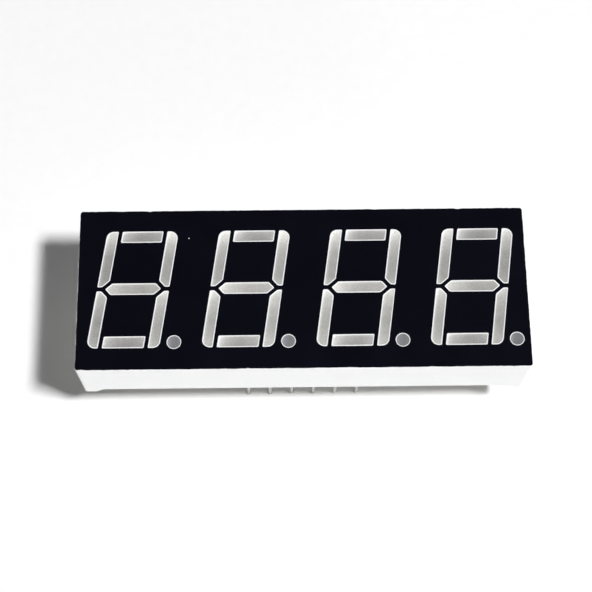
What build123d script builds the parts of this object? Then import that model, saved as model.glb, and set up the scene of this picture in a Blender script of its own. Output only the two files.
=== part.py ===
from build123d import *
import os
from math import cos, radians, sqrt, tan

# Four-digit seven-segment display with 0.56 inch digits, in millimetres, +Z up.
# X runs along the row of digits, Y towards their tops, and Z out of the face.
# The origin is the middle of the pin pattern, on the plane that the feet stand on.

# Housing: one white moulding, a block of light funnels with a pocket in its back.
# The end gap stays open between two displays set end to end. The row margin lies outside each pin row.
end_gap = 0.25
row_margin = 2.005
body_height = 8.0
draft_angle = 2.0
edge_radius = 0.3
wall = 0.7
pocket_radius = 0.4
foot_height = 0.8
foot_length = 1.35
foot_slope = 0.85

# Print: the black film on the moulded face
print_thickness = 0.05
print_margin = 0.04

# Stack behind the funnels, from the back rim inwards
resin_recess = 0.4
resin_cover = 1.3
board_thickness = 1.0
board_clearance = 0.12

# Digits, as the windows in the print show them
digit_count = 4
digit_pitch = 12.7
digit_height = 14.2
digit_width = 8.2
slant_angle = 8.0
upright_width = 1.39
bar_thickness = 1.48
segment_gap = 0.345
upright_end_gap = 0.4
upright_chamfer = 0.78
outer_corner_radius = 0.9
corner_cut = 0.1
point_radius = 0.86
point_across = 4.66
point_down = 6.39

# Funnels: each starts inside its window, drops straight and then narrows down to one chip
white_rim = 0.12
mouth_land = 0.4
throat_length = 2.2
throat_width = 0.85

# Pins: two rows of round wire, flattened where the board grips them
pins_per_row = 6
pin_pitch = 2.54
row_spacing = 15.24
pin_diameter = 0.5
pin_reach = 6.3
grip_width = 0.62
grip_thickness = 0.38
grip_proud = 0.35
slot_clearance = 0.05
solder_height = 0.4
solder_diameter = 1.3
solder_sides = 8

# Chips and their bond wires
chip_size = 0.28
chip_height = 0.2
bond_span = 0.6
wire_thickness = 0.04
wire_rise = 0.12

# Levels and sizes that follow. Displays set end to end keep the distance of their digits.
face_length = digit_count * digit_pitch - end_gap
face_width = row_spacing + 2 * row_margin
face_z = body_height - print_thickness
resin_back_z = foot_height + resin_recess
board_back_z = resin_back_z + resin_cover
board_front_z = board_back_z + board_thickness
draft_inset = face_z * tan(radians(draft_angle))
base_length = face_length - 2 * draft_inset
base_width = face_width - 2 * draft_inset
pocket_length = base_length - 2 * wall
pocket_width = base_width - 2 * wall
board_length = pocket_length - 2 * board_clearance
board_width = pocket_width - 2 * board_clearance
half_height = digit_height / 2
half_width = digit_width / 2
upright_end = upright_end_gap / 2
lean = tan(radians(slant_angle))

digit_centres = [
    (digit_pitch * (n - (digit_count - 1) / 2), 0) for n in range(digit_count)
]
UPRIGHTS = {"b": (1, 1), "c": (1, -1), "e": (-1, -1), "f": (-1, 1)}
BARS = {"a": 1, "d": -1}
LETTERS = ["a", "b", "c", "d", "e", "f", "g"]

os.makedirs("parts", exist_ok=True)


def save(part, name):
    """Label a finished piece and write it as its own file."""
    part.label = name
    export_step(part, f"parts/{name}.step")


# Segment outlines, drawn on an upright digit and then leaned over


def upright_corners(across, up, inset):
    """An upright segment: a strip whose inner end is cut at 45 degrees. The rounded corner is first."""
    outer = half_width - inset
    inner = half_width - upright_width + inset
    tip = half_height - inset
    end = upright_end + inset
    cut = upright_chamfer - (2 - sqrt(2)) * inset
    corners = [(outer, tip), (inner, tip), (inner, end + cut), (inner + cut, end), (outer, end)]
    return [(across * u, up * v) for u, v in corners]


def bar_corners(up, inset):
    """The top or bottom bar, which ends short of the uprights."""
    reach = half_width - upright_width - segment_gap / cos(radians(slant_angle)) - inset
    far = half_height - inset
    near = half_height - bar_thickness + inset
    return [(-reach, up * far), (reach, up * far), (reach, up * near), (-reach, up * near)]


def middle_corners(inset):
    """The middle bar, with pointed ends that fit between the cut ends of the uprights."""
    rise = bar_thickness / 2 - inset
    cut_line = half_width - upright_width + upright_end + upright_chamfer
    tip = cut_line - sqrt(2) * (segment_gap + inset)
    knee = tip - rise
    return [(-tip, 0), (-knee, rise), (knee, rise), (tip, 0), (knee, -rise), (-knee, -rise)]


def segment_corners(letter, inset):
    """Corners of one segment on the upright digit, pulled in by inset all round."""
    if letter in UPRIGHTS:
        return upright_corners(*UPRIGHTS[letter], inset)
    if letter in BARS:
        return bar_corners(BARS[letter], inset)
    return middle_corners(inset)


def leaned(u, v):
    """Lean a point of the upright digit over."""
    return (u + lean * v, v)


def outline(corners, outer_radius, cut=0):
    """A closed outline. The first corner gets the outer radius and the others are cut off a little."""
    points = [leaned(u, v) for u, v in corners]
    with BuildSketch() as sketch:
        with BuildLine():
            Polyline(*points, close=True)
        make_face()
        if cut:
            small = sketch.vertices().sort_by_distance((*points[0], 0))
            chamfer(small[1:] if outer_radius else small, cut)
        if outer_radius:
            fillet(sketch.vertices().sort_by_distance((*points[0], 0))[0], outer_radius)
    return sketch.sketch


def disc(radius):
    """The round outline of a decimal point."""
    with BuildSketch() as sketch:
        with Locations((point_across, -point_down)):
            Circle(radius)
    return sketch.sketch


windows, mouths = {}, {}
for letter in LETTERS:
    radius = outer_corner_radius if letter in UPRIGHTS else 0
    windows[letter] = outline(segment_corners(letter, 0), radius, corner_cut)
    mouths[letter] = outline(segment_corners(letter, white_rim), radius and radius - white_rim)
windows["point"] = disc(point_radius)
mouths["point"] = disc(point_radius - white_rim)

# Funnels: the prism under each mouth, narrowed by one wedge across the segment and one along it


def funnel_sizes(letter):
    """Middle of a segment's mouth on the upright digit, its width and height, and those of its throat."""
    corners = segment_corners(letter, white_rim)
    across = [u for u, v in corners]
    up = [v for u, v in corners]
    middle = (min(across) + max(across)) / 2, (min(up) + max(up)) / 2
    throat = (throat_width, throat_length) if letter in UPRIGHTS else (throat_length, throat_width)
    return middle, (max(across) - min(across), max(up) - min(up)), throat


def chip_place(letter):
    """Where the chip under a segment or point sits in its digit."""
    if letter == "point":
        return point_across, -point_down
    return leaned(*funnel_sizes(letter)[0])


def wedge(low, high):
    """Cross-section of a funnel that widens from low at the board to high at the end of its slope."""
    depth = face_z - board_front_z
    slope = depth - mouth_land
    top = low + (high - low) * depth / slope
    corners = [(-low / 2, 0), (low / 2, 0), (top / 2, depth), (-top / 2, depth)]
    return Polygon(*corners, align=None, mode=Mode.PRIVATE)


def build_funnel(letter, digit_x):
    """The space from the board up to one mouth in the moulded face. Under a point it is a plain bore."""
    with BuildPart() as funnel:
        with BuildSketch(Plane((digit_x, 0, board_front_z))):
            add(mouths[letter])
        extrude(amount=face_z - board_front_z)
        if letter != "point":
            middle, mouth, throat = funnel_sizes(letter)
            x, y = chip_place(letter)
            foot = (digit_x + x, y, board_front_z)
            with BuildSketch(Plane(foot, x_dir=(1, 0, 0), z_dir=(0, -1, 0))):
                add(wedge(throat[0], mouth[0]))
            extrude(amount=digit_height, dir=(lean, 1, 0), both=True, mode=Mode.INTERSECT)
            with BuildSketch(Plane(foot, x_dir=(0, 1, 0), z_dir=(1, 0, 0))):
                add(wedge(throat[1], mouth[1]))
            extrude(amount=digit_width, both=True, mode=Mode.INTERSECT)
    return funnel.part


names = LETTERS + ["point"]
funnels = {
    (n, letter): build_funnel(letter, x) for n, (x, y) in enumerate(digit_centres) for letter in names
}

# Housing

with BuildPart() as housing:
    with BuildSketch(Plane.XY):
        RectangleRounded(base_length, base_width, edge_radius)
    with BuildSketch(Plane.XY.offset(face_z)):
        RectangleRounded(face_length, face_width, edge_radius)
    loft(ruled=True)
    for plane, base in ((Plane.XZ, base_length), (Plane.YZ, base_width)):
        low = base / 2 - foot_length
        high = low - foot_slope
        with BuildSketch(plane):
            with BuildLine():
                Polyline((-low, 0), (-high, foot_height), (high, foot_height), (low, 0), close=True)
            make_face()
        extrude(amount=face_length, both=True, mode=Mode.SUBTRACT)
    with BuildSketch(Plane.XY):
        RectangleRounded(pocket_length, pocket_width, pocket_radius)
    extrude(amount=board_front_z, mode=Mode.SUBTRACT)
    add(list(funnels.values()), mode=Mode.SUBTRACT)
save(housing.part, "reflector_housing")

# Print

with BuildPart() as front_print:
    with BuildSketch(Plane.XY.offset(face_z)):
        RectangleRounded(
            face_length - 2 * print_margin, face_width - 2 * print_margin, edge_radius
        )
        with Locations(*digit_centres):
            for letter in names:
                add(windows[letter], mode=Mode.SUBTRACT)
    extrude(amount=print_thickness)
save(front_print.part, "front_print")

# Board and pins

row_start = -pin_pitch * (pins_per_row - 1) / 2
bottom_row = [(row_start + n * pin_pitch, -row_spacing / 2) for n in range(pins_per_row)]
top_row = [(-x, -y) for x, y in bottom_row]
pin_places = bottom_row + top_row
grip_low_z = resin_back_z - grip_proud

with BuildPart() as circuit_board:
    with BuildSketch(Plane.XY.offset(board_back_z)):
        RectangleRounded(board_length, board_width, pocket_radius - board_clearance)
    extrude(amount=board_thickness)
    board_block = circuit_board.part
    with BuildSketch(Plane.XY.offset(board_back_z)):
        with Locations(*pin_places):
            Rectangle(grip_width + 2 * slot_clearance, grip_thickness + 2 * slot_clearance)
    extrude(amount=board_thickness, mode=Mode.SUBTRACT)
save(circuit_board.part, "circuit_board")


def build_pin(x, y):
    """A round pin, flattened from the board down to just outside the resin."""
    with BuildPart() as pin:
        with BuildSketch(Plane((x, y, -pin_reach))):
            Circle(pin_diameter / 2)
        extrude(amount=pin_reach + grip_low_z)
        with BuildSketch(Plane((x, y, grip_low_z))):
            Rectangle(grip_width, grip_thickness)
        extrude(amount=board_front_z - grip_low_z)
    return pin.part


pins = [build_pin(x, y) for x, y in pin_places]
for number, pin in enumerate(pins, start=1):
    save(pin, f"pin_{number}")

with BuildPart() as solder_joints:
    with BuildSketch(Plane.XY.offset(board_back_z)):
        with Locations(*pin_places):
            RegularPolygon(solder_diameter / 2, solder_sides)
    extrude(amount=-solder_height)
    add(pins, mode=Mode.SUBTRACT)
save(solder_joints.part, "solder_joints")

with BuildPart() as back_resin:
    with BuildSketch(Plane.XY.offset(resin_back_z)):
        RectangleRounded(pocket_length, pocket_width, pocket_radius)
    extrude(amount=board_front_z - resin_back_z)
    add(board_block, mode=Mode.SUBTRACT)
    add([*pins, solder_joints.part], mode=Mode.SUBTRACT)
save(back_resin.part, "back_resin")

# Chips and wires: one of each at the bottom of every funnel


def seat_plane(letter, digit_x):
    """Plane on the board in the middle of a funnel's throat, with its X along the bond wire."""
    x, y = chip_place(letter)
    turn = 90 if letter in UPRIGHTS else 0
    return Plane((digit_x + x, y, board_front_z)).rotated((0, 0, turn))


def build_chip(letter, digit_x):
    """The light-emitting chip on the board."""
    with BuildPart() as chip:
        with BuildSketch(seat_plane(letter, digit_x)):
            with Locations((-bond_span / 2, 0)):
                Rectangle(chip_size, chip_size)
        extrude(amount=chip_height)
    return chip.part


def build_wire(letter, digit_x):
    """The bond wire, up from the top of the chip, across, and down to the board."""
    seat = seat_plane(letter, digit_x)
    half = wire_thickness / 2
    end = bond_span / 2
    crown = chip_height + wire_rise
    with BuildPart() as wire:
        with BuildSketch(Plane(seat.origin, x_dir=seat.x_dir, z_dir=-seat.y_dir)):
            with BuildLine():
                Polyline(
                    (-end - half, chip_height),
                    (0, crown),
                    (end + half, 0),
                    (end - half, 0),
                    (0, crown - wire_thickness),
                    (half - end, chip_height),
                    close=True,
                )
            make_face()
        extrude(amount=half, both=True)
    return wire.part


for n, (digit_x, digit_y) in enumerate(digit_centres):
    chips = [build_chip(letter, digit_x) for letter in names]
    wires = [build_wire(letter, digit_x) for letter in names]
    with BuildPart() as digit_chips:
        add(chips)
    save(digit_chips.part, f"digit_{n + 1}_chips")
    with BuildPart() as digit_wires:
        add(wires)
    save(digit_wires.part, f"digit_{n + 1}_bond_wires")
    for letter, chip, wire in zip(names, chips, wires):
        with BuildPart() as fill:
            add(funnels[n, letter])
            add([chip, wire], mode=Mode.SUBTRACT)
        label = "point" if letter == "point" else f"segment_{letter}"
        save(fill.part, f"digit_{n + 1}_{label}")
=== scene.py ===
# %% [markdown]
# # A four-digit seven-segment display
# The real part is one white moulding, a block of light funnels with a black film printed on its
# face. Grey, milky resin fills every funnel up to the face, and two rows of tinned pins come out
# of the resin that closes the back. The solids already hold the right shapes and sizes. This
# lesson gives them their finishes, and makes finer pieces where the camera sees small forms.

# %% Load the solids, which stay where they are
from math import exp, pi, radians, sqrt, tan

import bmesh
import bpy
from mathutils import Matrix, Vector, noise


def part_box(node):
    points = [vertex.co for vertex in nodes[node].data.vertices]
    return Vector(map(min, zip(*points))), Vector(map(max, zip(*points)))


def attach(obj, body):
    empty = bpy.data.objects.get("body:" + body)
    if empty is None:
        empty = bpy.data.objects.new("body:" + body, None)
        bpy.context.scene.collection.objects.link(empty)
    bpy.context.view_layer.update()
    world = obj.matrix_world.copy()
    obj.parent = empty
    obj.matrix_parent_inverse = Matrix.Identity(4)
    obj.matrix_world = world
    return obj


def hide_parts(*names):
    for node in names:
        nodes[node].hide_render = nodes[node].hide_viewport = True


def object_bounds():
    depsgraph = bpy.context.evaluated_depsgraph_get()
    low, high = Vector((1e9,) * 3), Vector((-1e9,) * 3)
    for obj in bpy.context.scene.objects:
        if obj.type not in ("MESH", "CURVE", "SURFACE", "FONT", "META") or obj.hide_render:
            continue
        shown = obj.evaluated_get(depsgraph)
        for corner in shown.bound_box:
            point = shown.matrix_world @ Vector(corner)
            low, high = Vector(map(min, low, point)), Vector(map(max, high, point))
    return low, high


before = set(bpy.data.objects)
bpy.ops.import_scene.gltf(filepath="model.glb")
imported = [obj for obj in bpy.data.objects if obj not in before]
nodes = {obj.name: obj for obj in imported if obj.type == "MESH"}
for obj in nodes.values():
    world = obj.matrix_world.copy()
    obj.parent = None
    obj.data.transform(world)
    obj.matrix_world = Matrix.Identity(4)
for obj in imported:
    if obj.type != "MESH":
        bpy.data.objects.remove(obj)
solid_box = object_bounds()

MM = 0.001
low, high = (corner / MM for corner in solid_box)
print("solids from", low, "to", high, "mm")

# %% [markdown]
# ## The camera
# The camera stands in front of the display and looks down on it, so the near wall and the tips
# of the near pins show below the black face. A camera in Blender looks along its own -Z. Its
# turn is written here as three directions: the right side of the picture, the top of the
# picture, and straight back from the lens.

# %% Place the camera
FACE_Z = high.z
EYE = Vector((-3.05, -69.2, FACE_Z + 169.2)) * MM
LOOK = Vector((0.0124, 0.3736, -0.9275)).normalized()
ROUGHLY_RIGHT = Vector((0.9999, -0.0139, 0.0078))
PICTURE_RIGHT = (ROUGHLY_RIGHT - LOOK * ROUGHLY_RIGHT.dot(LOOK)).normalized()
PICTURE_UP = PICTURE_RIGHT.cross(LOOK)

camera = bpy.data.objects.new("camera", bpy.data.cameras.new("camera"))
bpy.context.scene.collection.objects.link(camera)
camera.matrix_world = Matrix.Translation(EYE) @ Matrix(
    (PICTURE_RIGHT, PICTURE_UP, -LOOK)
).transposed().to_4x4()
camera.data.lens = 99.0
camera.data.sensor_width = 36.0
camera.data.clip_start = 0.01
camera.data.clip_end = 20.0
bpy.context.scene.camera = camera
bpy.context.scene.view_settings.view_transform = "Standard"
print("the camera is", round(EYE.length / MM), "mm from the origin")

# %% [markdown]
# ## Shader helpers
# Every finish is a Principled shader fed by a few patterns. The patterns read Object coordinates,
# which for these pieces are metres from a point between the pins, at the level of the feet. So a
# pattern's grain is given in millimetres and stays the same on every piece. Helpers keep each
# finish down to what is special about it.


# %% A new finish and its patterns
def start_finish(name):
    """A new material, its node tree and its Principled shader."""
    material = bpy.data.materials.new(name)
    material.use_nodes = True
    print("finish", name)
    return material, material.node_tree, material.node_tree.nodes["Principled BSDF"]


def place_in_mm(tree, stretch=(1, 1, 1)):
    """Object coordinates in millimetres, with a pattern stretched along an axis where asked."""
    coordinates = tree.nodes.new("ShaderNodeTexCoord")
    mapping = tree.nodes.new("ShaderNodeMapping")
    mapping.inputs["Scale"].default_value = [1 / (MM * s) for s in stretch]
    tree.links.new(coordinates.outputs["Object"], mapping.inputs["Vector"])
    return mapping.outputs["Vector"]


def grain(tree, size, detail=2.0, stretch=(1, 1, 1)):
    """Soft noise whose spots are about size millimetres wide, from 0 to 1."""
    texture = tree.nodes.new("ShaderNodeTexNoise")
    texture.inputs["Scale"].default_value = 1 / size
    texture.inputs["Detail"].default_value = detail
    tree.links.new(place_in_mm(tree, stretch), texture.inputs["Vector"])
    return texture.outputs["Fac"]


def arithmetic(tree, operation, first, second):
    """One step of arithmetic on a pattern."""
    node = tree.nodes.new("ShaderNodeMath")
    node.operation = operation
    for socket, value in zip(node.inputs, (first, second)):
        if isinstance(value, (int, float)):
            socket.default_value = value
        else:
            tree.links.new(value, socket)
    return node.outputs["Value"]


# %% From patterns to colours
def ramp(tree, value, *stops):
    """Colours along a value: each stop is a place from 0 to 1 and a colour."""
    node = tree.nodes.new("ShaderNodeValToRGB")
    elements = node.color_ramp.elements
    while len(elements) < len(stops):
        elements.new(0.5)
    for element, (place, colour) in zip(elements, stops):
        element.position = place
        element.color = (*colour, 1)
    tree.links.new(value, node.inputs["Fac"])
    return node.outputs["Color"]


def combined(tree, how, *colours):
    """Colours combined one after the other: how is MULTIPLY or ADD."""
    result = colours[0]
    for colour in colours[1:]:
        node = tree.nodes.new("ShaderNodeMix")
        node.data_type = "RGBA"
        node.blend_type = how
        node.inputs["Factor"].default_value = 1.0
        tree.links.new(result, node.inputs["A"])
        tree.links.new(colour, node.inputs["B"])
        result = node.outputs["Result"]
    return result


# %% From patterns to roughness and bumps
def spread(tree, value, least, most):
    """A pattern from 0 to 1, stretched to run from least to most."""
    node = tree.nodes.new("ShaderNodeMapRange")
    node.inputs["To Min"].default_value = least
    node.inputs["To Max"].default_value = most
    tree.links.new(value, node.inputs["Value"])
    return node.outputs["Result"]


def roughen(tree, shader, value, least, most):
    """A roughness that follows a pattern from least to most."""
    tree.links.new(spread(tree, value, least, most), shader.inputs["Roughness"])


def relief(tree, shader, value, depth, strength):
    """Bumps of a given depth in millimetres."""
    node = tree.nodes.new("ShaderNodeBump")
    node.inputs["Distance"].default_value = depth * MM
    node.inputs["Strength"].default_value = strength
    tree.links.new(value, node.inputs["Height"])
    tree.links.new(node.outputs["Normal"], shader.inputs["Normal"])


# %% [markdown]
# ## The white plastic
# The housing is moulded in a very white, slightly glossy plastic, so that the funnels throw out
# as much light as they can. It is not one flat white: the colour drifts a little, and the
# surface carries the fine grain of the mould. The rims round the segments are the same plastic.

# %% White plastic
white_plastic, tree, shader = start_finish("white_plastic")
drift = ramp(
    tree, grain(tree, size=4.0), (0.3, (0.915, 0.92, 0.925)), (0.7, (0.94, 0.94, 0.94))
)
specks = ramp(
    tree, grain(tree, size=0.12, detail=3.0), (0.35, (0.96, 0.96, 0.96)), (0.6, (1, 1, 1))
)
tree.links.new(combined(tree, "MULTIPLY", drift, specks), shader.inputs["Base Color"])
roughen(tree, shader, grain(tree, size=0.8), least=0.38, most=0.55)
shader.inputs["Specular IOR Level"].default_value = 0.4
relief(tree, shader, grain(tree, size=0.15, detail=3.0), depth=0.006, strength=0.6)

# %% [markdown]
# ## The black print
# The print is a thin film of matt ink with a faint blue cast. Ink lies a little unevenly, so the
# black has broad clouds, and its skin is finely dimpled. In two places a pinhole lets the white
# plastic through. Each is drawn as a small round ramp about its own middle.


# %% A round spot on the face
def round_spot(tree, x, y, radius):
    """A pattern that is 1 at a point of the face and 0 outside a radius, in millimetres."""
    flat = tree.nodes.new("ShaderNodeVectorMath")
    flat.operation = "MULTIPLY"
    flat.inputs[1].default_value = (1, 1, 0)
    tree.links.new(place_in_mm(tree), flat.inputs[0])
    gap = tree.nodes.new("ShaderNodeVectorMath")
    gap.operation = "DISTANCE"
    gap.inputs[1].default_value = (x, y, 0)
    tree.links.new(flat.outputs["Vector"], gap.inputs[0])
    share = arithmetic(tree, "DIVIDE", gap.outputs["Value"], radius)
    return ramp(tree, share, (0.5, (1, 1, 1)), (1.0, (0, 0, 0)))


# %% Black print
# Where each pinhole lies on the face, and its radius, in millimetres
PINHOLES = [(-12.85, 6.14, 0.075), (3.03, 2.08, 0.06)]

black_ink, tree, shader = start_finish("black_ink")
clouds = ramp(
    tree, grain(tree, size=5.0, detail=3.0),
    (0.3, (0.0014, 0.0013, 0.0036)), (0.7, (0.0024, 0.0024, 0.0062)),
)
fibres = ramp(
    tree, grain(tree, size=0.2, detail=3.0), (0.3, (0.8, 0.8, 0.8)), (0.7, (1.25, 1.25, 1.2))
)
ink_colour = combined(tree, "MULTIPLY", clouds, fibres)
spots = [round_spot(tree, *pinhole) for pinhole in PINHOLES]
tree.links.new(combined(tree, "ADD", ink_colour, *spots), shader.inputs["Base Color"])
roughen(tree, shader, grain(tree, size=0.6), least=0.5, most=0.68)
shader.inputs["Specular IOR Level"].default_value = 0.02
relief(tree, shader, grain(tree, size=0.25), depth=0.004, strength=0.5)

# %% [markdown]
# ## The resin in the segments
# The resin is clear epoxy clouded with a fine white powder. Light enters it and comes back from
# the white walls of the funnel. Its colour carries painted light and shade: an upright segment
# is painted brightest at its top end and a lying one at its left end, where light comes back
# off the funnel's wall, and both are painted darker over the deep middle. One ramp of painted
# light and shade runs along the segment, a weaker one across it, and a faint one along the
# whole row, which paints the light falling off towards both ends. Every digit is alike, so
# the first two read a point's place on its own upright digit: X starts again at every digit, and
# the lean is taken out.

# %% Where a point lies on its own digit
DIGIT_PITCH = 12.7
HALF_HEIGHT = 7.1
LEAN = tan(radians(8.0))
# How long a ramp is for each way that it can run, in millimetres
SPANS = {"up": 2 * HALF_HEIGHT, "across": DIGIT_PITCH, "row": 4 * DIGIT_PITCH}
print("a digit leans", round(LEAN, 3), "mm for each mm of its height")


def place_along(tree, way):
    """A point's place up or across its upright digit, or along the row, from 0 to 1."""
    split = tree.nodes.new("ShaderNodeSeparateXYZ")
    tree.links.new(place_in_mm(tree), split.inputs["Vector"])
    place = split.outputs["Y"] if way == "up" else split.outputs["X"]
    if way == "across":
        place = arithmetic(tree, "ADD", place, 2 * DIGIT_PITCH)
        place = arithmetic(tree, "MODULO", place, DIGIT_PITCH)
        place = arithmetic(tree, "SUBTRACT", place, DIGIT_PITCH / 2)
        leaned = arithmetic(tree, "MULTIPLY", split.outputs["Y"], LEAN)
        place = arithmetic(tree, "SUBTRACT", place, leaned)
    return arithmetic(tree, "ADD", arithmetic(tree, "DIVIDE", place, SPANS[way]), 0.5)


def painted_light_along(tree, way, painted_light_levels, tint=(1, 1, 1)):
    """A ramp of painted light and shade whose stops are a place in millimetres and a grey."""
    stops = [
        (place / SPANS[way] + 0.5, [level * share for share in tint]) for place, level in painted_light_levels
    ]
    return ramp(tree, place_along(tree, way), *stops)


# %% A resin with its painted light and shade
# Painted light along the row: middle digits lighter, both ends darker where the light falls off
ROW_PAINTED_LIGHT = [(-23, 0.80), (-14, 0.99), (-3, 1.04), (9, 1.0), (23, 0.87)]


def resin(name, way, painted_light_levels, side_way, side_painted_light, tint=(1.01, 1.0, 0.965)):
    """Clouded resin with painted light and shade along the segment, across it and along the row.
    """
    material, tree, shader = start_finish(name)
    mottle = ramp(
        tree, grain(tree, size=1.1),
        (0.3, (0.92, 0.93, 0.91)), (0.5, (1.0, 1.0, 1.0)), (0.7, (1.07, 1.05, 1.05)),
    )
    specks = ramp(
        tree, grain(tree, size=0.14, detail=4.0),
        (0.3, (0.86, 0.86, 0.86)), (0.7, (1.14, 1.14, 1.14)),
    )
    colour = combined(
        tree, "MULTIPLY", painted_light_along(tree, way, painted_light_levels, tint),
        painted_light_along(tree, side_way, side_painted_light), painted_light_along(tree, "row", ROW_PAINTED_LIGHT),
        mottle, specks,
    )
    tree.links.new(colour, shader.inputs["Base Color"])
    roughen(tree, shader, grain(tree, size=0.4), least=0.3, most=0.5)
    shader.inputs["Specular IOR Level"].default_value = 0.3
    relief(tree, shader, grain(tree, size=0.3, detail=3.0), depth=0.008, strength=0.5)
    return material


# %% The resins
# Both lists of places and greys in each resin below are painted light and shade.
upright_resin = resin(
    "upright_resin",
    "up", [
        (-6.9, 0.53), (-5.6, 0.43), (-4.2, 0.39), (-2.6, 0.44), (-1.3, 0.58), (-0.4, 0.78),
        (0.4, 0.47), (1.2, 0.375), (2.6, 0.35), (4.1, 0.40), (5.4, 0.53), (6.9, 0.90),
    ],
    "across", [
        (-3.86, 1.35), (-3.72, 1.10), (-3.58, 0.99), (-2.75, 0.94),
        (2.75, 1.35), (3.05, 1.10), (3.2, 0.99), (4.0, 0.94),
    ],
)
bar_resin = resin(
    "bar_resin",
    "across", [
        (-2.3, 0.94), (-1.9, 0.63), (-1.4, 0.49), (-0.8, 0.40), (0.1, 0.355), (1.0, 0.365),
        (1.7, 0.39), (2.2, 0.45),
    ],
    "up", [(-6.9, 0.91), (-6.1, 1.03), (-5.85, 1.25), (5.8, 0.85), (6.6, 0.98), (6.92, 1.25)],
    tint=(1.01, 0.995, 0.99),
)
middle_resin = resin(
    "middle_resin",
    "across", [
        (-3.0, 0.88), (-2.4, 0.71), (-1.8, 0.61), (-1.0, 0.51), (0.0, 0.445), (1.2, 0.425),
        (2.6, 0.45), (3.0, 0.52),
    ],
    "up", [(-0.6, 0.95), (0.3, 1.0), (0.6, 1.22)],
)
point_resin = resin(
    "point_resin",
    "across", [(4.8, 0.36), (5.0, 0.28), (5.3, 0.215), (5.7, 0.185), (6.2, 0.20), (6.35, 0.26)],
    "up", [(-7.1, 1.2), (-6.9, 0.98), (-5.8, 1.05), (-5.65, 1.2)],
    tint=(1.0, 1.0, 1.07),
)
# Segments a and d are the bars at the top and the bottom, and g is the one in the middle
RESINS = {"a": bar_resin, "d": bar_resin, "g": middle_resin}

# %% [markdown]
# ## Metals and the hidden parts
# The pins are tinned wire, a grey metal with fine lines along the way it was drawn. The chips,
# the bond wires, the board and the solder lie behind the resin. They get finishes too, so that
# the model can be opened up.

# %% Tin
tinned, tree, shader = start_finish("tinned_wire")
drawn = grain(tree, size=0.05, detail=3.0, stretch=(1, 1, 25))
tree.links.new(
    ramp(tree, drawn, (0.3, (0.24, 0.24, 0.235)), (0.7, (0.56, 0.555, 0.54))),
    shader.inputs["Base Color"],
)
shader.inputs["Metallic"].default_value = 1.0
roughen(tree, shader, grain(tree, size=0.3), least=0.16, most=0.34)
relief(tree, shader, drawn, depth=0.004, strength=0.5)

# %% The resin of the back
cast_resin, tree, shader = start_finish("cast_resin")
milky = ramp(
    tree, grain(tree, size=2.5, detail=3.0),
    (0.3, (0.50, 0.50, 0.46)), (0.7, (0.62, 0.61, 0.57)),
)
bubbles = ramp(tree, grain(tree, size=0.25), (0.28, (0.7, 0.7, 0.7)), (0.36, (1, 1, 1)))
tree.links.new(combined(tree, "MULTIPLY", milky, bubbles), shader.inputs["Base Color"])
roughen(tree, shader, grain(tree, size=1.5), least=0.15, most=0.3)
relief(tree, shader, grain(tree, size=1.2, detail=3.0), depth=0.03, strength=0.5)


# %% Finishes inside the block
def inner_finish(name, size, dark, light, metallic=0.0, rough=(0.4, 0.6)):
    """A plain two-tone finish for a part inside the block."""
    material, tree, shader = start_finish(name)
    pattern = grain(tree, size, detail=3.0)
    tree.links.new(ramp(tree, pattern, (0.35, dark), (0.65, light)), shader.inputs["Base Color"])
    roughen(tree, shader, pattern, *rough)
    shader.inputs["Metallic"].default_value = metallic
    relief(tree, shader, pattern, depth=0.005, strength=0.5)
    return material


board_laminate = inner_finish("board_laminate", 0.4, (0.55, 0.50, 0.33), (0.66, 0.61, 0.43))
chip_crystal = inner_finish("chip_crystal", 0.08, (0.20, 0.17, 0.12), (0.36, 0.31, 0.22))
solder_tin = inner_finish(
    "solder", 0.3, (0.45, 0.45, 0.44), (0.66, 0.66, 0.65), metallic=1.0, rough=(0.25, 0.4)
)
bond_gold = inner_finish(
    "bond_gold", 0.05, (0.80, 0.56, 0.20), (0.95, 0.70, 0.30), metallic=1.0, rough=(0.2, 0.3)
)


# %% Give each solid its finish
def finish_for(name):
    """The finish of a solid, from its name."""
    if "_segment_" in name:
        return RESINS.get(name[-1], upright_resin)
    for ending, material in (
        ("_point", point_resin), ("_chips", chip_crystal), ("_bond_wires", bond_gold),
        ("housing", white_plastic), ("print", black_ink), ("board", board_laminate),
        ("joints", solder_tin), ("back_resin", cast_resin),
    ):
        if name.endswith(ending):
            return material
    return tinned


for name, node in nodes.items():
    node.data.materials.clear()
    node.data.materials.append(finish_for(name))
print(len(nodes), "solids have a finish")

# %% [markdown]
# ## From an outline to a thin piece
# The film and the rims are flat sheets with openings, a few hundredths of a millimetre thick.
# A sheet like that is easiest to make from its outlines: fill what lies between them, extrude
# the sheet upwards, and bevel its top edges. The outlines come from the solid film, so they fit
# the funnels exactly.

# %% What counts as the same point, the same level, a corner and a sharp edge
SAME_POINT = 1e-4 * MM
SAME_LEVEL = 1e-3 * MM
CORNER_TURN = radians(16)
# Rounding a corner can leave points closer than this, which are merged
ROUNDING_MERGE = 0.008 * MM
# Faces that meet at more than this angle, in radians, have a sharp edge between them
SHARP_EDGE = 1.0


# %% Outlines
def film_outlines():
    """A mesh of the film's outlines, each filled by one face: the biggest is the outer one."""
    outlines = bmesh.new()
    outlines.from_mesh(nodes["front_print"].data)
    bmesh.ops.remove_doubles(outlines, verts=outlines.verts[:], dist=SAME_POINT)
    back = min(v.co.z for v in outlines.verts)
    rest = [f for f in outlines.faces if max(v.co.z for v in f.verts) - back > SAME_LEVEL]
    bmesh.ops.delete(outlines, geom=rest, context="FACES")
    inside = [e for e in outlines.edges if not e.is_boundary]
    bmesh.ops.delete(outlines, geom=outlines.faces[:], context="FACES_ONLY")
    bmesh.ops.delete(outlines, geom=inside, context="EDGES")
    bmesh.ops.edgeloop_fill(outlines, edges=outlines.edges[:])
    return outlines


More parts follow.
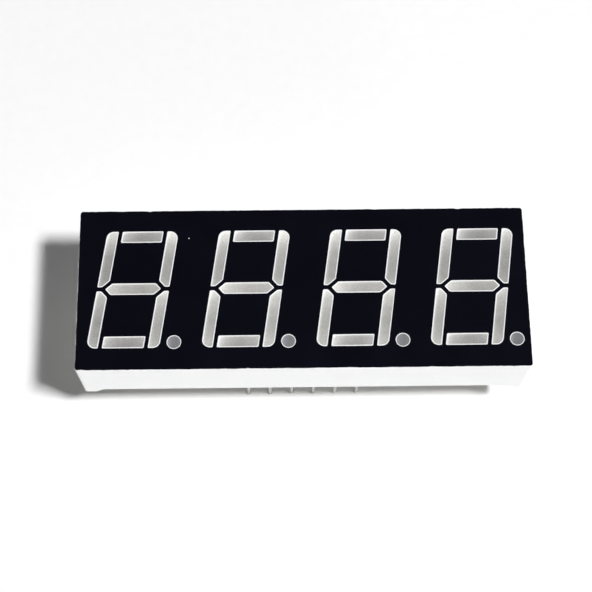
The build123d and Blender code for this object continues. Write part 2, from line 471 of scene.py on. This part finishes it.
def biggest(mesh):
    """The face with the largest area."""
    return max(mesh.faces, key=lambda face: face.calc_area())


def drop_faces(mesh, keep):
    """Delete the outlines whose faces don't pass the test."""
    bmesh.ops.delete(mesh, geom=[f for f in mesh.faces if not keep(f)], context="FACES")


def pull_in(mesh, distance, faces=None):
    """Pull outlines in by a distance in millimetres."""
    ring = bmesh.ops.inset_individual(
        mesh, faces=faces or mesh.faces[:], thickness=distance * MM
    )["faces"]
    bmesh.ops.delete(mesh, geom=ring, context="FACES")


# %% Corners
def is_corner(vertex):
    """Whether an outline turns sharply at a vertex."""
    a, b = (e.other_vert(vertex).co - vertex.co for e in vertex.link_edges)
    return pi - a.angle(b) > CORNER_TURN


def bevel_corners(mesh, corners, offset, steps):
    """Round some corners of flat outlines, over an offset in millimetres."""
    bmesh.ops.bevel(
        mesh, geom=corners, offset=offset * MM, offset_type="OFFSET", affect="VERTICES",
        segments=steps, profile=0.5, material=-1, clamp_overlap=True,
    )


def round_corners(mesh, offset, steps):
    """Round every corner of flat outlines, and merge what ends up in the same place."""
    corners = [v for v in mesh.verts if len(v.link_edges) == 2 and is_corner(v)]
    bevel_corners(mesh, corners, offset, steps)
    bmesh.ops.remove_doubles(mesh, verts=mesh.verts[:], dist=ROUNDING_MERGE)


# %% Thickness and a bevelled edge
def raise_sheet(mesh, thickness, edge):
    """Fill between outlines, thicken the sheet upwards and bevel its top edges."""
    bmesh.ops.delete(mesh, geom=mesh.faces[:], context="FACES_ONLY")
    bmesh.ops.triangle_fill(mesh, edges=mesh.edges[:], use_beauty=True)
    made = bmesh.ops.extrude_face_region(mesh, geom=mesh.faces[:])["geom"]
    top = [v for v in made if isinstance(v, bmesh.types.BMVert)]
    bmesh.ops.translate(mesh, verts=top, vec=(0, 0, thickness * MM))
    bmesh.ops.recalc_face_normals(mesh, faces=mesh.faces[:])
    top_z = max(v.co.z for v in mesh.verts)
    rims = [
        e for e in mesh.edges
        if min(v.co.z for v in e.verts) > top_z - SAME_LEVEL
        and e.calc_face_angle(0) > SHARP_EDGE
    ]
    bmesh.ops.bevel(
        mesh, geom=rims, offset=edge * MM, offset_type="OFFSET", affect="EDGES",
        segments=2, profile=0.5, material=-1, clamp_overlap=True,
    )


# %% From a mesh to a finished piece
def finished(name, mesh, material, slot, *stands_for, smooth=None):
    """Turn a bmesh into a piece that rides on the part."""
    data = bpy.data.meshes.new(name)
    open_edges = sum(not e.is_manifold for e in mesh.edges)
    volume = mesh.calc_volume() / MM**3
    mesh.to_mesh(data)
    mesh.free()
    data.materials.append(material)
    piece = bpy.data.objects.new(name, data)
    bpy.context.scene.collection.objects.link(piece)
    if smooth:
        data.shade_smooth()
        data.set_sharp_from_angle(angle=radians(smooth))
    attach(piece, "root")
    if stands_for:
        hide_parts(*stands_for)
    print(name, len(data.polygons), "faces,", open_edges, "open edges,", round(volume, 3), "mm3")


# %% [markdown]
# ## The printed film
# Real print never ends on a perfectly straight line. The film's outer edge wanders by a few
# hundredths of a millimetre and has small nicks where the ink didn't take. The outer outline is
# cut into short edges, and each vertex is moved in or out by a soft noise. At the windows the ink
# runs a little over the funnels' walls, with the small round corners that a stencil leaves.

# %% How the ink's edge wanders
EDGE_STEP = 0.22
# Each row is a height in millimetres, how many waves go to a millimetre, and a slice of the noise
EDGE_WAVES = [(0.03, 0.9, 3.0), (0.03, 2.7, 7.0)]
# Along the row, which side (1 is far), depth and half width, in millimetres
NICKS = [
    (-17.3, 1, 0.09, 0.22), (-20.3, 1, 0.03, 0.3), (17.9, 1, 0.10, 0.3), (8.4, 1, 0.03, 0.5),
    (-24.6, -1, 0.12, 0.12), (-6.2, -1, 0.08, 0.16), (1.6, -1, 0.03, 0.3), (5.0, -1, 0.04, 0.5),
    (14.2, -1, 0.04, 0.3),
]
# Past these, in millimetres from the middle, a vertex lies on a long edge or on an end
LONG_EDGE_Y = 9.0
END_X = 25.0


def soft_waves(x, y, rows):
    """The sum of rows of soft noise at a point."""
    return sum(height * noise.noise((x * fine, y * fine, cut)) for height, fine, cut in rows)


def wander(point):
    """How far the ink's edge lies outwards of its line at a point, in millimetres."""
    x, y = point.x / MM, point.y / MM
    shift = soft_waves(x, y, EDGE_WAVES)
    for where, side, depth, half in NICKS:
        if y * side > LONG_EDGE_Y:
            shift -= depth * exp(-(((x - where) / half) ** 2))
    return shift


# %% Make the film
INK_OVERLAP = 0.045
WINDOW_CORNER = 0.045
FILM_THICKNESS = 0.05
FILM_BEVEL = 0.012

film = film_outlines()
outer = biggest(film)
pull_in(film, INK_OVERLAP, [f for f in film.faces if f != outer])
for edge in [e for e in biggest(film).edges if e.calc_length() > 2 * EDGE_STEP * MM]:
    cuts = int(edge.calc_length() / (EDGE_STEP * MM))
    bmesh.ops.subdivide_edges(film, edges=[edge], cuts=cuts)
outer_verts = set(biggest(film).verts)
for vertex in outer_verts:
    if abs(vertex.co.x) > END_X * MM:
        outwards = Vector((vertex.co.x, 0, 0))
    else:
        outwards = Vector((0, vertex.co.y, 0))
    vertex.co += outwards.normalized() * wander(vertex.co) * MM
windows = [v for v in film.verts if v not in outer_verts and is_corner(v)]
bevel_corners(film, windows, WINDOW_CORNER, steps=2)
raise_sheet(film, FILM_THICKNESS, FILM_BEVEL)
finished("ink_film", film, black_ink, "black_print", "front_print")

# %% [markdown]
# ## The white rims
# Between the ink and the resin, a narrow line of the white plastic stays bare all round each
# segment. It is the top of the funnel's wall, and its inner edge is a little rounded where the
# resin meets it. Each rim is a thin ring between the window's outline and the same outline
# pulled in.

# %% Sizes of the rims
# How wide the bare line is, and how high the ring stands, in millimetres
RIM = 0.13
POINT_RIM = 0.09
RIM_HEIGHT = 0.028
RIM_BEVEL = 0.01
# The gap between the ink and the ring, so that they don't touch
INK_GAP = 0.004
# How far a corner is rounded where the resin meets the ring
RESIN_CORNER = 0.10
# Points that come out closer than this when an outline is pulled in are merged
PULLED_MERGE = 0.06
# The areas that tell a point from a segment, and a window from the outer outline, in mm2
POINT_AREA = 4.0
WINDOW_AREA = 100
# The stretch of the face that holds a digit and its point lies this far right of the digit
STRETCH_SHIFT = 0.3
DIGITS = range(1, 5)
ROW_MIDDLE = 2.5


# %% Make the rims, one piece for each digit
def windows_of(number):
    """The outlines of one digit's eight windows."""
    centre = (number - ROW_MIDDLE) * DIGIT_PITCH

    def ours(face):
        """Whether a face is a window of this digit."""
        aside = face.calc_center_median().x / MM - centre - STRETCH_SHIFT
        return face.calc_area() < WINDOW_AREA * MM**2 and abs(aside) < DIGIT_PITCH / 2

    outlines = film_outlines()
    drop_faces(outlines, ours)
    return outlines


def rims_of(number):
    """The rims of one digit's eight windows."""
    inner = windows_of(number)
    points = [f for f in inner.faces if f.calc_area() < POINT_AREA * MM**2]
    segments = [f for f in inner.faces if f not in points]
    pull_in(inner, INK_OVERLAP + POINT_RIM, points)
    pull_in(inner, INK_OVERLAP + RIM, segments)
    bmesh.ops.remove_doubles(inner, verts=inner.verts[:], dist=PULLED_MERGE * MM)
    round_corners(inner, RESIN_CORNER, steps=3)
    rings = windows_of(number)
    pull_in(rings, INK_OVERLAP + INK_GAP)
    round_corners(rings, WINDOW_CORNER, steps=2)
    joined = bpy.data.meshes.new("rim_outlines")
    inner.to_mesh(joined)
    rings.from_mesh(joined)
    inner.free()
    bpy.data.meshes.remove(joined)
    raise_sheet(rings, RIM_HEIGHT, RIM_BEVEL)
    return rings


for number in DIGITS:
    finished(f"digit_{number}_rims", rims_of(number), white_plastic, "white_plastic")

# %% [markdown]
# ## The pins
# A pin is a short piece of round tinned wire with a rounded end. Where it goes into the resin it
# is pressed flat, so that the board can grip it. The wire starts as a circle, is extruded up,
# pressed to an oval and extruded again, and the edge of its lower end is bevelled round.

# %% Sizes of the pins
PIN_RADIUS = 0.25
TIP_ROUND = 0.16
# Where the wire starts to get flat, counted from the plane of the feet, and how soon it is flat
GRIP_LOW = 0.85
GRIP_RAMP = 0.12
# Half the flat part's width and depth
GRIP_HALF = (0.31, 0.19)
# How much each pin's cut end lies above the longest, in millimetres
CUT_SHORT = [0.0, 0.05, 0.32, 0.22, 0.32, 0.36, 0.05, 0.0, 0.1, 0.04, 0.06, 0.02]
PINS = range(1, 13)


# %% Make the pins
def make_pin(number):
    """One pin, from its tip up to the front of the board."""
    first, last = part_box(f"pin_{number}")
    x, y = (first.x + last.x) / 2, (first.y + last.y) / 2
    mesh = bmesh.new()
    low_z = first.z + CUT_SHORT[number - 1] * MM
    bmesh.ops.create_circle(
        mesh, cap_ends=True, segments=24, radius=PIN_RADIUS * MM,
        matrix=Matrix.Translation((x, y, low_z)),
    )
    face = mesh.faces[:][0]
    # Each level is a height and how much wider and deeper the wire is there than just below
    levels = [
        (GRIP_LOW * MM, (1, 1)),
        ((GRIP_LOW + GRIP_RAMP) * MM, (GRIP_HALF[0] / PIN_RADIUS, GRIP_HALF[1] / PIN_RADIUS)),
        (last.z, (1, 1)),
    ]
    z = low_z
    for level, (wide, deep) in levels:
        made = bmesh.ops.extrude_face_region(mesh, geom=[face])["geom"]
        if z > low_z:
            bmesh.ops.delete(mesh, geom=[face], context="FACES_ONLY")
        face = next(g for g in made if isinstance(g, bmesh.types.BMFace))
        bmesh.ops.translate(mesh, verts=face.verts[:], vec=(0, 0, level - z))
        bmesh.ops.scale(
            mesh, verts=face.verts[:], vec=(wide, deep, 1), space=Matrix.Translation((-x, -y, 0))
        )
        z = level
    tip = [e for e in mesh.edges if all(abs(v.co.z - low_z) < SAME_LEVEL for v in e.verts)]
    bmesh.ops.bevel(
        mesh, geom=tip, offset=TIP_ROUND * MM, offset_type="OFFSET", affect="EDGES",
        segments=5, profile=0.5, material=-1, clamp_overlap=True,
    )
    bmesh.ops.recalc_face_normals(mesh, faces=mesh.faces[:])
    return mesh


for number in PINS:
    finished(
        f"pin_{number}_wire", make_pin(number), tinned, "tinned_pin", f"pin_{number}", smooth=50
    )

# %% [markdown]
# ## The resin in the back
# The back is poured full, so its surface is a liquid that has set: it dips in the middle, climbs
# a little at the walls and round each pin, and is never quite even. A fine grid is thickened
# into a slab, and then its outer face is moved up and down by those three effects.

# %% The set surface
corner_low, corner_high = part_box("back_resin")
size = (corner_high - corner_low) / MM
middle = (corner_low + corner_high) / 2
pins = [(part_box(f"pin_{n}")[0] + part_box(f"pin_{n}")[1]) / 2 for n in PINS]
# How high the resin climbs at a wall and at a pin, and how fast that fades away from them
WALL_CLIMB = 0.16
WALL_FADE = 0.45
PIN_CLIMB = 0.14
PIN_FADE = 0.3
# Rows of soft noise, as for the ink's edge
BACK_WAVES = [(0.05, 0.25, 1.0), (0.02, 1.0, 5.0)]


def surface_drop(x, y):
    """How far the set surface hangs below its level at a point, in millimetres."""
    to_wall = min(size.x / 2 - abs(x - middle.x / MM), size.y / 2 - abs(y - middle.y / MM))
    to_pin = min(sqrt((x - p.x / MM) ** 2 + (y - p.y / MM) ** 2) for p in pins)
    at_wall = WALL_CLIMB * exp(-max(to_wall, 0) / WALL_FADE)
    at_pin = PIN_CLIMB * exp(-max(to_pin - PIN_RADIUS, 0) / PIN_FADE)
    return at_wall + at_pin + soft_waves(x, y, BACK_WAVES)


# %% Make the back
BACK_STEP = 0.35
# How far the slab stays off the walls
INSET = 0.02
# Where the level surface and the slab's inner face lie, above the lowest point of the solid
BACK_LEVEL = 0.1
BACK_DEPTH = 1.25

back = bmesh.new()
bmesh.ops.create_grid(
    back, x_segments=int(size.x / BACK_STEP), y_segments=int(size.y / BACK_STEP), size=0.5,
    matrix=Matrix.Translation((middle.x, middle.y, corner_low.z + BACK_LEVEL * MM))
    @ Matrix.Diagonal(((size.x - 2 * INSET) * MM, (size.y - 2 * INSET) * MM, 1, 1)),
)
made = bmesh.ops.extrude_face_region(back, geom=back.faces[:])["geom"]
top = {v for v in made if isinstance(v, bmesh.types.BMVert)}
for vertex in back.verts:
    if vertex in top:
        vertex.co.z = corner_low.z + BACK_DEPTH * MM
    else:
        vertex.co.z -= surface_drop(vertex.co.x / MM, vertex.co.y / MM) * MM
bmesh.ops.recalc_face_normals(back, faces=back.faces[:])
finished("poured_back", back, cast_resin, "back_resin", "back_resin", smooth=60)

# %% [markdown]
# ## Floor and light
# The display stands on the tips of its pins on a white table. One soft lamp hangs high on the
# right and a little in front, so the shadow falls to the left and backwards. A weak one stands
# low in front and lifts the near wall. The table's own colour makes most of its white, and the
# rest is a touch of light that shows in the picture and in mirrors, but doesn't reach the part.


# %% Rays that only show a surface, and don't light the part
def shown(tree):
    """1 where a ray comes from the camera, a mirror or glass, and 0 elsewhere."""
    rays = tree.nodes.new("ShaderNodeLightPath").outputs
    straight = arithmetic(tree, "MAXIMUM", rays["Is Camera Ray"], rays["Is Glossy Ray"])
    return arithmetic(tree, "MAXIMUM", straight, rays["Is Transmission Ray"])


# %% The floor
FLOOR_Z = low.z
FLOOR_RADIUS = 1.2
PAPER_GLOW = 0.04

floor_mesh = bmesh.new()
bmesh.ops.create_circle(
    floor_mesh, cap_ends=True, segments=96, radius=FLOOR_RADIUS,
    matrix=Matrix.Translation((0, 0, FLOOR_Z * MM)),
)
floor_data = bpy.data.meshes.new("floor")
floor_mesh.to_mesh(floor_data)
floor_mesh.free()
floor = bpy.data.objects.new("floor", floor_data)
bpy.context.scene.collection.objects.link(floor)

paper, tree, shader = start_finish("white_paper")
pulp = ramp(
    tree, grain(tree, size=1.5, detail=4.0), (0.3, (0.93, 0.93, 0.93)), (0.7, (0.95, 0.95, 0.95))
)
tree.links.new(pulp, shader.inputs["Base Color"])
shader.inputs["Roughness"].default_value = 0.9
shader.inputs["Specular IOR Level"].default_value = 0.1
shader.inputs["Emission Color"].default_value = (1, 1, 1, 1)
glow = arithmetic(tree, "MULTIPLY", shown(tree), PAPER_GLOW)
tree.links.new(glow, shader.inputs["Emission Strength"])
floor_data.materials.append(paper)
print("the floor lies at", round(FLOOR_Z, 2), "mm")


# %% The lamps
def soft_lamp(name, towards, distance, size, level):
    """A flat lamp, in metres, that lights a level surface with a share of full white."""
    towards = Vector(towards).normalized()
    lamp = bpy.data.objects.new(name, bpy.data.lights.new(name, "AREA"))
    lamp.data.shape = "RECTANGLE"
    lamp.data.size, lamp.data.size_y = size
    lamp.data.energy = level * pi * pi * distance**2 / towards.z
    lamp.location = towards * distance
    lamp.rotation_euler = towards.to_track_quat("Z", "Y").to_euler()
    bpy.context.scene.collection.objects.link(lamp)
    print(name, round(lamp.data.energy, 1), "W")


soft_lamp("right_lamp", (0.46, -0.215, 1.0), distance=2.5, size=(0.35, 0.24), level=0.95)
soft_lamp("low_card", (0.45, -1.0, 0.15), distance=1.5, size=(0.5, 0.3), level=0.04)

# %% The sky, which is white to look at and lights the part only a little
SKY_FILL = 0.03

world = bpy.data.worlds.new("sky")
bpy.context.scene.world = world
world.use_nodes = True
tree = world.node_tree
background = tree.nodes["Background"]
background.inputs["Color"].default_value = (1, 1, 1, 1)
tree.links.new(spread(tree, shown(tree), SKY_FILL, 1.0), background.inputs["Strength"])
